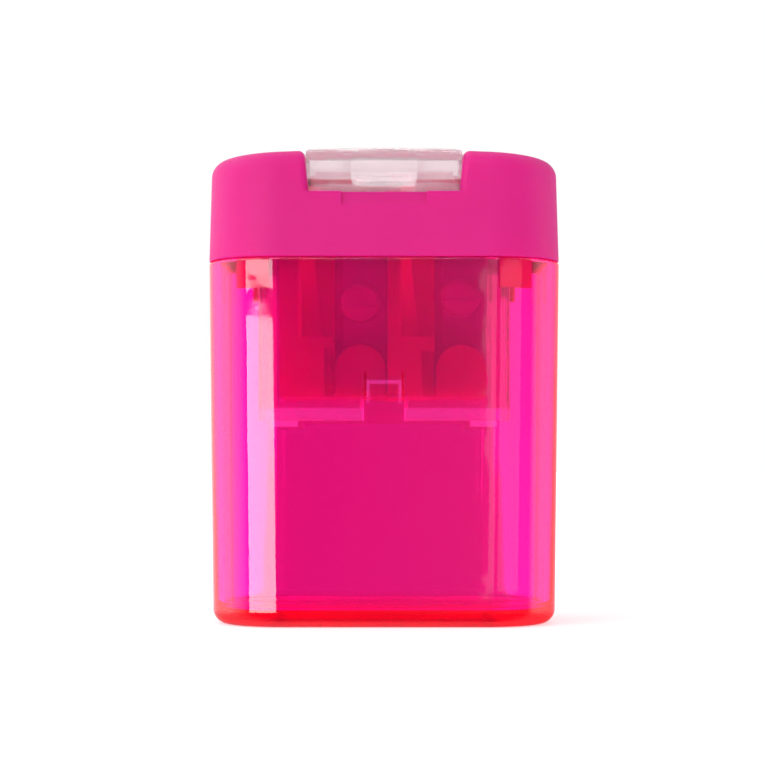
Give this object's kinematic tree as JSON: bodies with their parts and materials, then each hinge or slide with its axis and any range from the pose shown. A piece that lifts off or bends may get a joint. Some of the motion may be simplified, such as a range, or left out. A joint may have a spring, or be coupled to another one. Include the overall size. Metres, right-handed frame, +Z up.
{
  "type": "pencil sharpener",
  "caption": "Double-hole hand pencil sharpener: translucent shavings tub, friction-fit cap, clear inner holder with a tapered two-bore block, and a clear flip-up lid.",
  "frame": {"origin": "middle of the tub's foot, on the surface it stands on", "axes": "+X to the right seen from the front, +Y to the back (the lid's catch faces -Y), +Z up"},
  "size_m": [0.042, 0.026, 0.056],
  "materials": {
    "tub_plastic": "clear tinted pink, glossy",
    "cap_plastic": "opaque magenta, satin",
    "clear_plastic": "clear, glossy",
    "block_plastic": "opaque magenta, satin",
    "blade_steel": "ground steel",
    "screw_steel": "bright steel"
  },
  "bodies": {
    "tub": {"container": "tub_plastic"},
    "cap_unit": {"cap": "cap_plastic", "holder": "clear_plastic", "sharpener_block": "block_plastic", "blade_standard": "blade_steel", "blade_jumbo": "blade_steel", "screw_standard": "screw_steel", "screw_jumbo": "screw_steel"},
    "flap": {"lid": "clear_plastic"}
  },
  "joints": [
    {"name": "cap_lift", "type": "slide", "parent": "tub", "child": "cap_unit", "axis": [0, 0, 1], "range_m": [0, 0.022]},
    {"name": "lid_hinge", "type": "hinge", "parent": "cap_unit", "child": "flap", "pos_m": [0, 0.008, 0.0544], "axis": [-1, 0, 0], "range_deg": [0, 110]}
  ]
}
